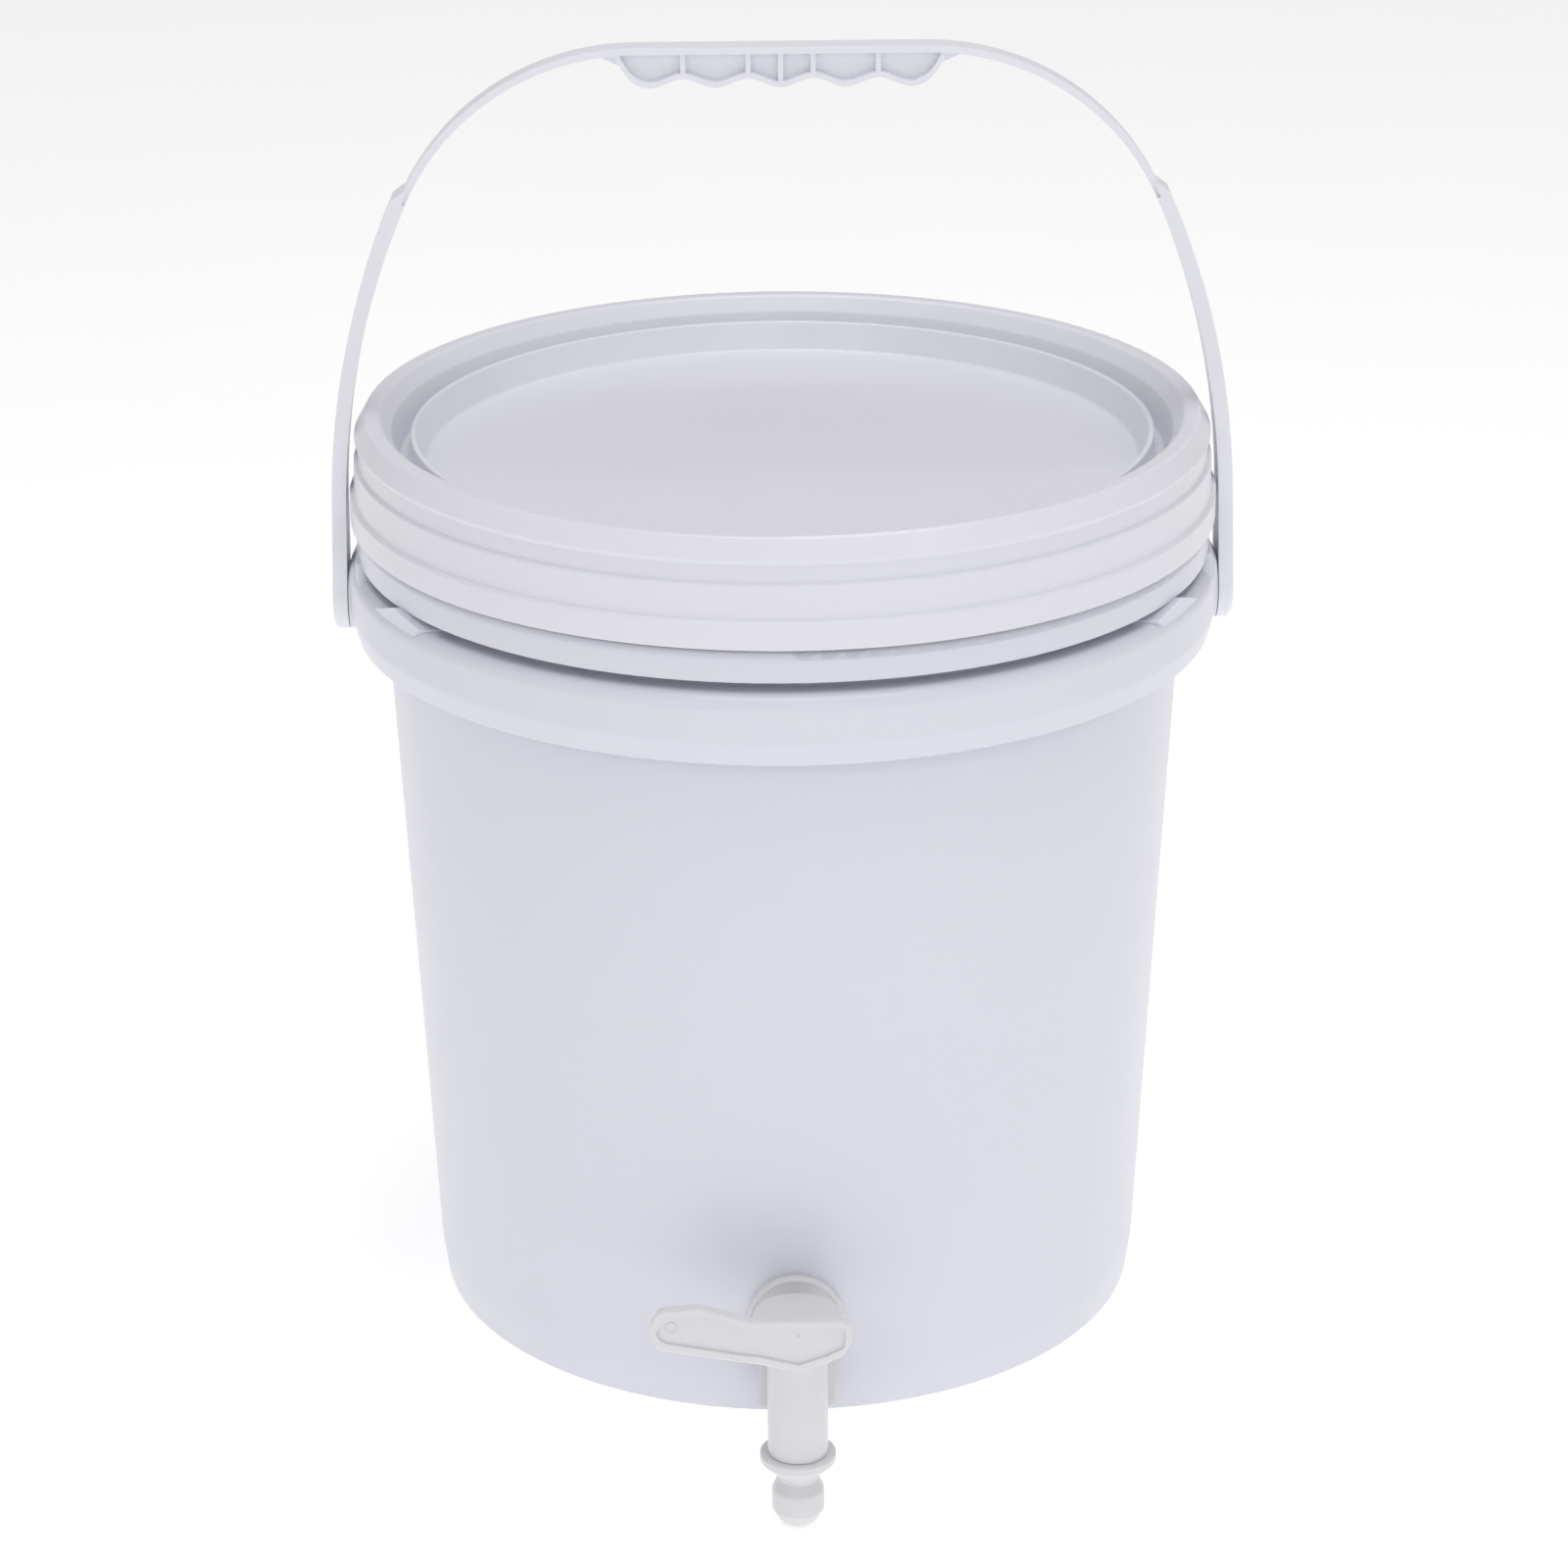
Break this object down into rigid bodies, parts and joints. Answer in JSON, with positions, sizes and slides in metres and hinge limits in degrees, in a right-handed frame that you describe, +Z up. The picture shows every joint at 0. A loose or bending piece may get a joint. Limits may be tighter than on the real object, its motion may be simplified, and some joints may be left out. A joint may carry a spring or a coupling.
{
  "type": "bucket with tap",
  "caption": "Tapered round plastic pail with a sealed press-fit lid, a swinging bail with a ribbed finger grip, and a quarter-turn lever tap with a hose nozzle at the foot of its wall.",
  "frame": {"origin": "centre of the foot ring, in the plane that the bucket stands on", "axes": "+Z up along the bucket's axis, -Y towards the tap, X along the bail's pivot line"},
  "size_m": [0.3402, 0.3443, 0.5154],
  "materials": {
    "bucket_plastic": "smooth moulded white plastic, slightly translucent, soft gloss",
    "lid_plastic": "smooth moulded white plastic, soft gloss",
    "bail_plastic": "smooth moulded white plastic, satin",
    "tap_plastic": "smooth moulded white plastic, satin",
    "seal_rubber": "matt soft rubber",
    "washer_rubber": "matt soft white rubber"
  },
  "bodies": {
    "bucket_body": {"bucket": "bucket_plastic", "lid": "lid_plastic", "lid_gasket": "seal_rubber", "tap_body": "tap_plastic", "outer_washer": "washer_rubber", "inner_washer": "washer_rubber", "back_nut": "tap_plastic", "hose_nozzle": "tap_plastic", "nozzle_seal": "seal_rubber"},
    "bail_body": {"bail": "bail_plastic"},
    "valve_body": {"tap_lever": "tap_plastic", "tap_plug": "tap_plastic", "plug_lower_ring": "seal_rubber", "plug_upper_ring": "seal_rubber"}
  },
  "joints": [
    {"name": "bail_swing", "type": "hinge", "parent": "bucket_body", "child": "bail_body", "pos_m": [0, 0, 0.279], "axis": [1, 0, 0], "range_deg": [-129, 129]},
    {"name": "tap_turn", "type": "hinge", "parent": "bucket_body", "child": "valve_body", "pos_m": [0, -0.16504, 0.042], "axis": [0, 0, 1], "range_deg": [0, 90]}
  ]
}
